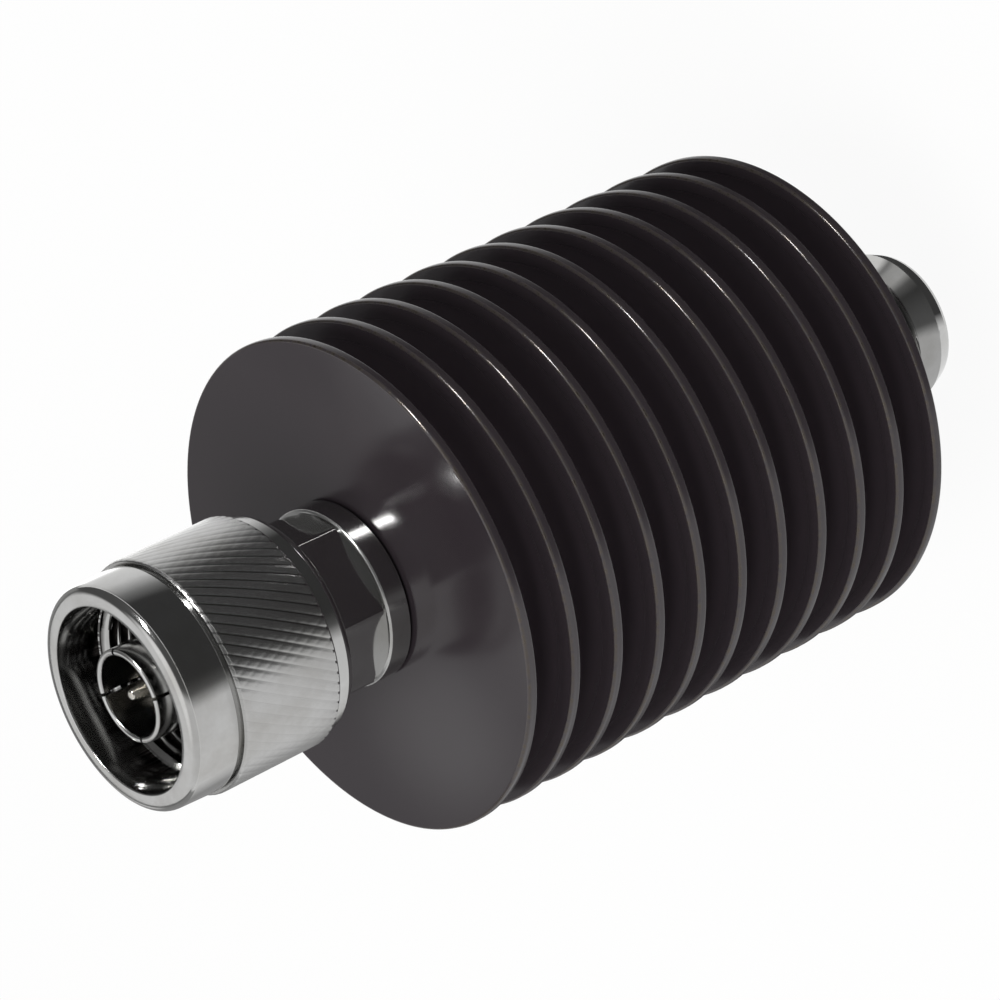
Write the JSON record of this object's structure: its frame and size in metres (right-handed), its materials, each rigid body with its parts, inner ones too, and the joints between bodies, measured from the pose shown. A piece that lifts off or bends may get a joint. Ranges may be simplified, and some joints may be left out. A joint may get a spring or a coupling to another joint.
{
  "type": "inline rf attenuator",
  "caption": "Inline coaxial attenuator: round finned heat sink with a knurled screw-on plug at one end and a threaded jack at the other.",
  "frame": {"origin": "centre of the jack's nose tip, where the part stands", "axes": "+Z along the line's axis, from the jack towards the plug; +Y square to one of the wrench flats"},
  "size_m": [0.0434, 0.0434, 0.0896],
  "materials": {
    "black_anodised": "black anodised, satin",
    "nickel": "bright nickel plate",
    "silver_plate": "silver plate",
    "spring_steel": "bright drawn",
    "ptfe": "turned PTFE, waxy",
    "silicone": "moulded, matt",
    "bare_aluminium": "milled",
    "ceramic": "as fired alumina",
    "silver_foil": "rolled, silver plated",
    "plated_steel": "zinc plate"
  },
  "bodies": {
    "attenuator": {"heat_sink": "black_anodised", "plug_body": "nickel", "plug_outer_contact": "nickel", "plug_centre_pin": "silver_plate", "plug_bead": "ptfe", "plug_gasket": "silicone", "nut_retaining_ring": "spring_steel", "jack_body": "nickel", "jack_bead": "ptfe", "jack_bead_retainer": "nickel", "jack_socket_contact": "silver_plate", "chip_carrier": "bare_aluminium", "carrier_cover": "bare_aluminium", "attenuator_chip": "ceramic", "input_ribbon": "silver_foil", "output_ribbon": "silver_foil", "cover_screw_1": "plated_steel", "cover_screw_2": "plated_steel", "cover_screw_3": "plated_steel", "cover_screw_4": "plated_steel"},
    "nut": {"coupling_nut": "nickel"}
  },
  "joints": [
    {"name": "nut_turn", "type": "hinge", "parent": "attenuator", "child": "nut", "pos_m": [0, 0, 0.0732], "axis": [0, 0, 1], "continuous": true}
  ]
}
